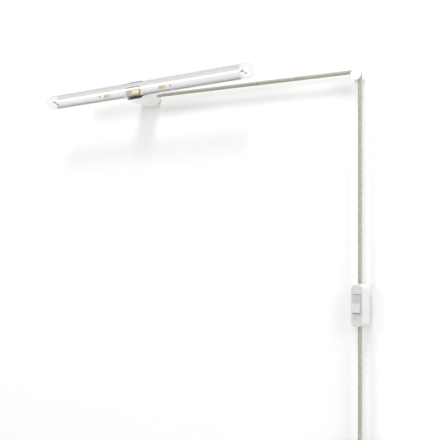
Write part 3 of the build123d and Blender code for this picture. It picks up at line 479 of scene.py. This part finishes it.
def curve_cord(name, points, samples):
    """A cord on one smooth open curve."""
    data = bpy.data.curves.new(name, "CURVE")
    data.dimensions = "3D"
    line = data.splines.new("NURBS")
    line.points.add(len(points) - 1)
    for spot, p in zip(line.points, points):
        spot.co = (*p, 1)
    line.order_u = 3
    line.use_endpoint_u = True
    line.resolution_u = samples
    data.bevel_depth = CORD_R
    data.bevel_resolution = 4
    data.use_fill_caps = True
    return attach(bpy.data.objects.new(name, data), "cord_textile", "wall")


SLEEVE_T = 0.10  # mm, over the cord
SLEEVE_SWELL = 0.05
SLEEVE_STEP = 2.0 * MM
SLEEVE_SIDES = 20


def braid(name, cord_object):
    """The woven sleeve over a cord, with a slow swell where its yarns bunch."""

    def surface(i, angle):
        swell = SLEEVE_SWELL * math.sin(i * 0.9) * math.sin(3 * angle)
        return CORD_R + (SLEEVE_T + swell) * MM

    route = route_of(cord_object, SLEEVE_STEP)
    return tube(name, route, surface, SLEEVE_SIDES, "cord_textile", "wall")


# ---------------------------------------------------------------- rocker with moulded, rounded edges
rocker_cap = bpy.data.objects.new("rocker_cap", NODES["rocker"].data.copy())
soften = rocker_cap.modifiers.new("edges", "BEVEL")
soften.width = 0.9 * MM
soften.segments = 3
soften.limit_method = "ANGLE"
soften.angle_limit = math.radians(35)
rocker_cap.data.shade_smooth()
attach(rocker_cap, "rocker_white", "rocker")
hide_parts("rocker")

# ---------------------------------------------------------------- cord from the holder over the peg
CORNER = 14.2 * MM  # from the corner to the points beside it; the curve between them rounds the peg
CORNER_Z = -18.744 * MM
arm_points = [
    (12.5 * MM, CORD_Y, -5.147 * MM),
    (CORD_X - CORNER, CORD_Y, -18.31 * MM),
    (CORD_X, CORD_Y, CORNER_Z),
    (CORD_X, CORD_Y, CORNER_Z - CORNER),
    (CORD_X, CORD_Y, -387.5 * MM),
]
arm_cord = curve_cord("arm_cord", arm_points, 24)
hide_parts("cord_upper")

# ---------------------------------------------------------------- cord from the switch to the plug, coiled
STEPS_A_TURN = 16
TURNS = 4
START = 45.0  # degrees up from the coil's right end, where the cord joins it
CROSSING = 40.0  # degrees over which a strand moves to its next lane
# Each lap's place in the bundle: mm out from its middle, and mm toward the wall.
LANES = [(3.0, -9.56), (3.5, -3.5), (-3.5, -3.5), (-3.5, 3.5), (3.5, 3.5)]
WIDENING = 0.981  # the curve lies at this share of its points' distance from the coil's middle


def on_coil(degrees, out, back, widening=WIDENING):
    """A point of the coil at that angle, mm out from the middle of the turns and mm toward the wall."""
    reach = (COIL_R + out * MM) / widening
    turn = math.radians(degrees)
    return (COIL_X + reach * math.cos(turn), CORD_Y + back * MM, COIL_Z + reach * math.sin(turn))


def lane(turned):
    """Where a strand lies in the bundle, after it has turned that many degrees."""
    if turned <= START:
        return (LANES[0][0] * turned / START, LANES[0][1])
    lap, into = divmod(turned - START, 360.0)
    share = min(into / CROSSING, 1.0)
    share = share * share * (3 - 2 * share)
    a, b = LANES[int(lap)], LANES[int(lap) + 1]
    return (a[0] + (b[0] - a[0]) * share, a[1] + (b[1] - a[1]) * share)


lead_points = [
    (CORD_X, CORD_Y, SWITCH_BOTTOM + 6 * MM),
    (CORD_X, CORD_Y, -600 * MM),
    (CORD_X, CORD_Y, -652 * MM),
    (CORD_X + 0.4 * MM, CORD_Y - 5.6 * MM, -663 * MM),
    (CORD_X + 3.9 * MM, CORD_Y + LANES[0][1] * MM, -673.8 * MM),
]
for i in range(TURNS * STEPS_A_TURN + round(STEPS_A_TURN * START / 360.0)):
    turned = i * 360.0 / STEPS_A_TURN
    lead_points.append(on_coil(START - turned, *lane(turned)))
last_out, last_back = LANES[-1]
lead_points += [
    on_coil(0.0, last_out, last_back, 1.0),
    (COIL_X + COIL_R + last_out * MM, CORD_Y + last_back * MM, COIL_Z - 13 * MM),
    (PLUG_X + 1.4 * MM, CORD_Y + 1.6 * MM, COIL_Z - 25 * MM),
    (PLUG_X, CORD_Y, RELIEF_TOP - 1 * MM),
    (PLUG_X, CORD_Y, RELIEF_TOP - 22 * MM),
]
lead_cord = curve_cord("lead_cord", lead_points, 6)
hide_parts("cord_lower", "cord_coil", "cord_tail")

arm_braid = braid("arm_braid", arm_cord)
lead_braid = braid("lead_braid", lead_cord)

# ---------------------------------------------------------------- plug relief with its rings
RINGS = 7
RING_PITCH = 3.2
RING_DEPTH = 0.75
RING_R = 4.4
RING_GROWTH = 1.7  # what a ring's radius gains over the relief's whole length
RELIEF_LEN = 26.0
FOOT_R = 6.2
relief = [(4.1, 0.0), (RING_R, -0.5)]
for ring in range(RINGS):
    height = -2.0 - ring * RING_PITCH
    grown = RING_R - RING_GROWTH * height / RELIEF_LEN
    waist = grown - RING_DEPTH
    relief += [(grown, height), (waist, height - 0.5), (waist, height - 1.3), (grown + 0.1, height - 1.8)]
relief += [(FOOT_R, 1.5 - RELIEF_LEN), (FOOT_R, -RELIEF_LEN)]
relief_piece = lathe(
    "relief_rings",
    [(r * MM, h * MM) for r, h in reversed(relief)],
    (PLUG_X, CORD_Y, RELIEF_TOP),
    "plug_white",
    "wall",
)
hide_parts("plug_relief")

# ---------------------------------------------------------------- tie: a strap with its end lapped over
TIE_TURN = math.radians(50.0)
TIE_HALF_W = 5.5 * MM
TIE_T = 1.2 * MM
TIE_HALF_OUT = 9.45 * MM  # inside the strap, across the coil
TIE_HALF_DEEP = 12.25 * MM  # and square to the wall
TIE_SHIFT = 2.8 * MM  # toward the front, for the strand that crosses there
LAP_T = 0.75 * MM
LAP_FROM, LAP_TO = 6, 22  # of the outline's points
EDGE_DROP = 0.35 * MM
TIE_POINTS = 56
ACROSS = [-1.0, -0.9, -0.6, -0.3, 0.0, 0.3, 0.6, 0.9, 1.0]  # rows over the strap's width
outward = Vector((math.cos(TIE_TURN), 0, math.sin(TIE_TURN)))
along_coil = Vector((math.sin(TIE_TURN), 0, -math.cos(TIE_TURN)))
tie_middle = Vector((COIL_X, CORD_Y - TIE_SHIFT, COIL_Z)) + outward * COIL_R


def strap_row(share, growth, drop, lap):
    """One ring of the strap at that share of its width, grown from its inner outline."""
    row = []
    for k in range(TIE_POINTS):
        turn = 2 * math.pi * k / TIE_POINTS
        u, v = rounded(turn, TIE_HALF_OUT + growth, TIE_HALF_DEEP + growth, 0.5)
        size = math.hypot(u, v)
        scale = (size - drop + (lap if LAP_FROM <= k <= LAP_TO else 0.0)) / size
        spot = (outward * u + FRONT * v) * scale
        row.append(tie_middle + spot + along_coil * share * TIE_HALF_W)
    return row


verts = []
for share in ACROSS:
    verts += strap_row(share, TIE_T, EDGE_DROP if abs(share) == 1.0 else 0.0, LAP_T)
for share in reversed(ACROSS):
    verts += strap_row(share, 0.0, 0.0, 0.0)
rows = 2 * len(ACROSS)
faces = skin(rows, TIE_POINTS)
last = (rows - 1) * TIE_POINTS
for k in range(TIE_POINTS):
    n = (k + 1) % TIE_POINTS
    faces.append((last + k, last + n, n, k))
tie_piece = new_piece("tie_band", verts, faces, "tie_strap", "wall")
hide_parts("cord_tie")

# ---------------------------------------------------------------- small pieces inside the glass
HOLD_HALF = 16.0  # half length of the wire that holds the block
HOLD_Z = 4.1
HOLD_STEPS = 20
hold_points = [(-HOLD_HALF - 0.6, BODY_FRONT + 0.3, HOLD_Z - 1.5)]
for i in range(HOLD_STEPS + 1):
    x = HOLD_HALF * (2 * i / HOLD_STEPS - 1)
    hold_points.append((x, BODY_FRONT - 0.5, HOLD_Z + 0.12 * math.cos(math.pi * x / 8)))
hold_points.append((HOLD_HALF + 0.6, BODY_FRONT + 0.3, HOLD_Z - 1.5))
wire("retaining_wire", hold_points, 0.4, "wire_dark", "lamp")

RING_POWER = 0.6  # how square the choke's ring is
RING_WIDE, RING_TALL = 9.35, 4.85  # half sizes of the ring that the wire is wound on
WINDS = 15
STEPS_A_WIND = 12
WIND_OUT, WIND_DEEP = 1.15, 0.9  # how far each wind reaches across the ring and off the face
WIND_R = 0.17
winding = []
for i in range(WINDS * STEPS_A_WIND + 1):
    turn = 2 * math.pi * i / STEPS_A_WIND
    x, z = rounded(turn / WINDS, RING_WIDE, RING_TALL, RING_POWER)
    out = Vector((x / RING_WIDE, 0, z / RING_TALL)).normalized()
    middle = Vector((CHOKE_X + x, BODY_FRONT - 0.7, CHOKE_Z + z))
    winding.append((middle + out * math.cos(turn) * WIND_OUT + FRONT * math.sin(turn) * WIND_DEEP) * MM)
tube("choke_winding", winding, lambda i, a: WIND_R * MM, 6, "gold", "lamp")

OUTLINE_STEPS = 48
outline = []
for k in range(OUTLINE_STEPS + 1):
    x, z = rounded(2 * math.pi * k / OUTLINE_STEPS, 10.5, 5.95, RING_POWER)
    outline.append((CHOKE_X + x, BODY_FRONT - 0.5, CHOKE_Z + z))
wire("choke_outline", outline, 0.45, "coil_brown", "lamp")

# ---------------------------------------------------------------- stage, lights and camera
FLOOR_Z = -0.95
WALL_BACK = 0.0006  # just behind the object's back
AIM = (0.12, 0.0, -0.15)


def plane(name, corners, material):
    """A flat four-cornered surface of the stage."""
    mesh = bpy.data.meshes.new(name)
    mesh.from_pydata(corners, [], [(0, 1, 2, 3)])
    mesh.materials.append(material)
    made = bpy.data.objects.new(name, mesh)
    bpy.context.collection.objects.link(made)
    return made


def area_light(name, place, size, power):
    """A round soft light, aimed at the object."""
    data = bpy.data.lights.new(name, "AREA")
    data.shape = "DISK"
    data.size = size
    data.energy = power
    made = bpy.data.objects.new(name, data)
    made.location = place
    made.rotation_euler = (Vector(AIM) - Vector(place)).to_track_quat("-Z", "Y").to_euler()
    bpy.context.collection.objects.link(made)
    return made


def studio_world():
    """Soft light from all round, dark below and pale above."""
    world = bpy.data.worlds.new("studio")
    world.use_nodes = True
    nodes, link = world.node_tree.nodes, world.node_tree.links.new
    split = nodes.new("ShaderNodeSeparateXYZ")
    rise = nodes.new("ShaderNodeMapRange")
    rise.inputs["From Min"].default_value = -1.0
    rise.inputs["From Max"].default_value = 1.0
    shade = nodes.new("ShaderNodeValToRGB")
    shade.color_ramp.elements.new(0.5)
    for end, (spot, level) in zip(shade.color_ramp.elements, ((0.25, 0.04), (0.5, 0.50), (0.8, 0.66))):
        end.position = spot
        end.color = (level, level, level, 1)
    link(nodes.new("ShaderNodeTexCoord").outputs["Generated"], split.inputs["Vector"])
    link(split.outputs["Z"], rise.inputs["Value"])
    link(rise.outputs["Result"], shade.inputs["Fac"])
    link(shade.outputs["Color"], nodes["Background"].inputs["Color"])
    nodes["Background"].inputs["Strength"].default_value = 1.0
    return world


wall = plane(
    "stage_wall",
    [(-5, WALL_BACK, FLOOR_Z), (5, WALL_BACK, FLOOR_Z), (5, WALL_BACK, 3), (-5, WALL_BACK, 3)],
    stage_paint("stage_wall_paint", (0.93, 0.93, 0.93)),
)
floor = plane(
    "stage_floor",
    [(-5, -4, FLOOR_Z), (5, -4, FLOOR_Z), (5, WALL_BACK, FLOOR_Z), (-5, WALL_BACK, FLOOR_Z)],
    stage_paint("stage_floor_paint", (0.66, 0.66, 0.65)),
)
key = area_light("left_front", (-1.6, -1.7, 0.5), 1.0, 15.5)
top = area_light("top_front", (0.5, -1.0, 1.9), 0.7, 28.0)
side = area_light("right_side", (2.4, -0.8, 0.5), 1.0, 23.5)

lens = bpy.data.cameras.new("camera")
lens.sensor_width = 36.0
lens.lens = 60.67
lens.shift_y = 0.1136
lens.clip_end = 50.0
camera = bpy.data.objects.new("camera", lens)
camera.location = (0.9345, -1.2074, -0.3574)
camera.rotation_euler = (math.radians(90), 0, math.radians(32.576))
bpy.context.collection.objects.link(camera)

scene = bpy.context.scene
scene.world = studio_world()
scene.camera = camera
scene.view_settings.view_transform = "Standard"
